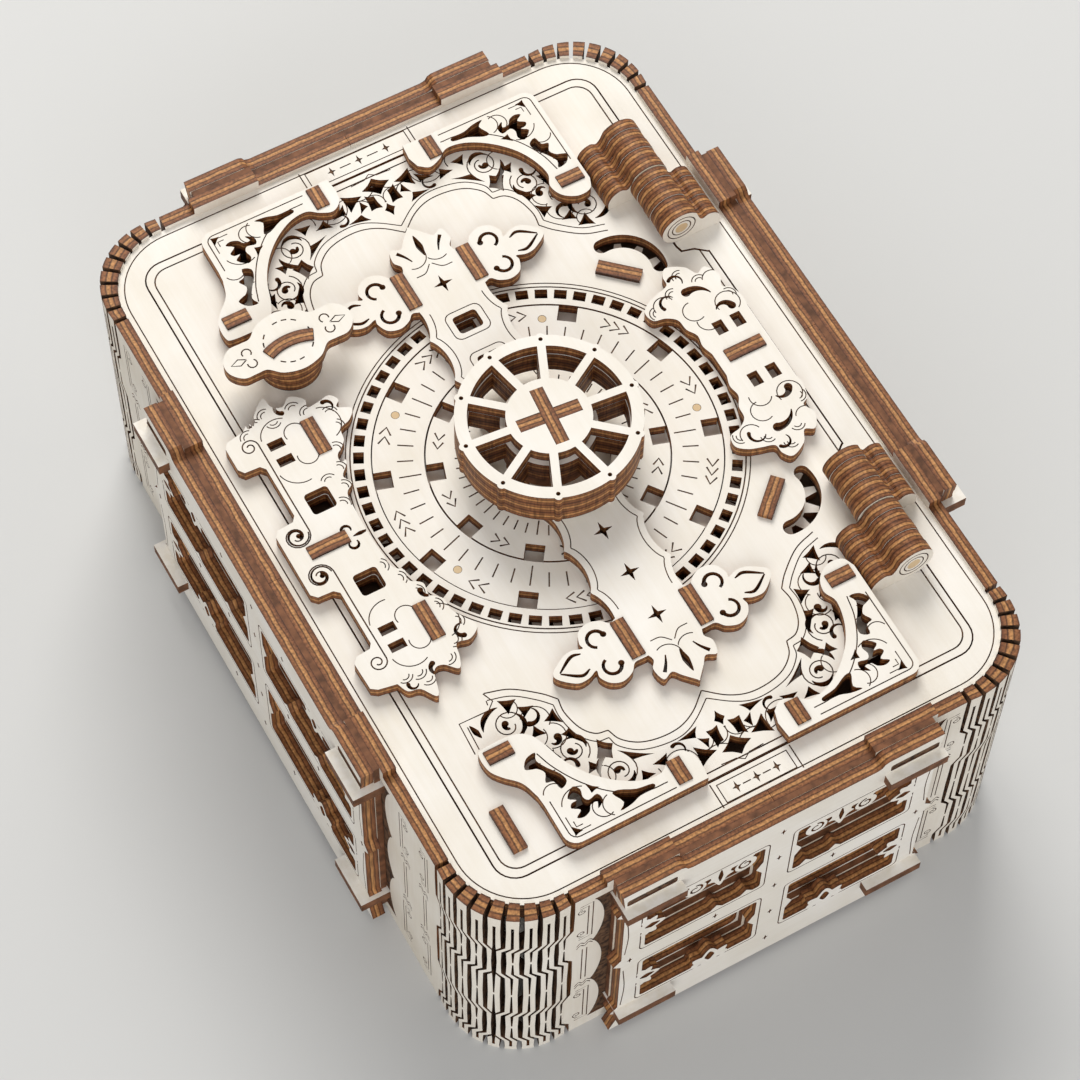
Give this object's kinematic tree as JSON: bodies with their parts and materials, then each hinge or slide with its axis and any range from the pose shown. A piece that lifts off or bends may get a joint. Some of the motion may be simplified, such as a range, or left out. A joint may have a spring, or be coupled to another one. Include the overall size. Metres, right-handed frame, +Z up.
{
  "type": "combination lock box",
  "caption": "Plywood puzzle box: hinged lid with a two-ring code dial, spoked handwheel, geared rings, turning knob and sliding bolt.",
  "frame": {"origin": "centre of the footprint, on the surface the box stands on", "axes": "+Z up, +Y along the long side away from the near short panel, +X towards the hinges"},
  "size_m": [0.1536, 0.2094, 0.0882],
  "materials": {
    "ply_face": "bare basswood plywood, fine grain, laser-browned edges",
    "ply_shade": "bare plywood inside the box",
    "ply_dark": "laser-charred plywood edges",
    "dowel": "turned birch dowel"
  },
  "bodies": {
    "case": {"base_plate": "ply_face", "corner_wall_left_far": "ply_face", "corner_wall_left_near": "ply_face", "corner_wall_right_far": "ply_face", "corner_wall_right_near": "ply_face", "deck_frame": "ply_face", "floor_board": "ply_face", "hinge_fixed_far": "ply_face", "hinge_fixed_near": "ply_face", "hinge_pin_far": "dowel", "hinge_pin_near": "dowel", "long_liners": "ply_shade", "long_panel_left": "ply_face", "long_panel_right": "ply_face", "long_relief_frames": "ply_dark", "short_liners": "ply_shade", "short_panel_far": "ply_face", "short_panel_near": "ply_face", "short_relief_frames": "ply_dark", "top_frame": "ply_face"},
    "lid": {"lid_plate": "ply_face", "lid_backing": "ply_shade", "lid_blocks": "ply_shade", "gear_guide": "ply_shade", "idler_axles": "dowel", "dial_bridge": "ply_face", "ornament_left": "ply_face", "ornament_right": "ply_face", "lid_keys": "ply_face", "hinge_moving_near": "ply_face", "hinge_moving_far": "ply_face", "bolt_guides": "ply_shade", "bracket_near_left": "ply_face", "bracket_near_right": "ply_face", "bracket_far_left": "ply_face", "bracket_far_right": "ply_face"},
    "outer_ring": {"outer_ring": "ply_face", "ring_gear": "ply_shade"},
    "inner_ring": {"inner_ring": "ply_face", "ring_carrier": "ply_shade"},
    "handwheel": {"wheel_foot": "ply_face", "wheel_lower": "ply_face", "wheel_middle": "ply_face", "wheel_upper": "ply_face", "wheel_keys": "ply_face", "wheel_spindle": "dowel"},
    "knob": {"knob_stack": "ply_face", "knob_plate": "ply_face", "knob_key": "ply_face", "knob_pinion": "ply_shade"},
    "bolt": {"lock_bolt": "ply_shade"},
    "idler_near": {"idler_gear_near": "ply_shade"},
    "idler_far": {"idler_gear_far": "ply_shade"}
  },
  "joints": [
    {"name": "lid_hinge", "type": "hinge", "parent": "case", "child": "lid", "pos_m": [0.0545, 0, 0.077], "axis": [0, 1, 0], "range_deg": [0, 105]},
    {"name": "outer_ring_spin", "type": "hinge", "parent": "lid", "child": "outer_ring", "pos_m": [0, 0, 0.0702], "axis": [0, 0, 1], "continuous": true},
    {"name": "inner_ring_spin", "type": "hinge", "parent": "lid", "child": "inner_ring", "pos_m": [0, 0, 0.0702], "axis": [0, 0, 1], "continuous": true},
    {"name": "handwheel_spin", "type": "hinge", "parent": "lid", "child": "handwheel", "pos_m": [0, 0, 0.0818], "axis": [0, 0, 1], "continuous": true},
    {"name": "idler_near_spin", "type": "hinge", "parent": "lid", "child": "idler_near", "pos_m": [0.03847, -0.03348, 0.0672], "axis": [0, 0, 1], "continuous": true},
    {"name": "idler_far_spin", "type": "hinge", "parent": "lid", "child": "idler_far", "pos_m": [0.03847, 0.03348, 0.0672], "axis": [0, 0, 1], "continuous": true},
    {"name": "knob_turn", "type": "hinge", "parent": "lid", "child": "knob", "pos_m": [-0.0395, 0.0482, 0.0722], "axis": [0, 0, -1], "range_deg": [0, 60]},
    {"name": "bolt_slide", "type": "slide", "parent": "lid", "child": "bolt", "axis": [-1, 0, 0], "range_m": [0, 0.0062]}
  ],
  "couplings": [
    {"joint": "idler_near_spin", "follows": "outer_ring_spin", "ratio": -4.6667},
    {"joint": "idler_far_spin", "follows": "outer_ring_spin", "ratio": -4.6667},
    {"joint": "knob_turn", "follows": "bolt_slide", "rad_per_m": 166.67}
  ]
}
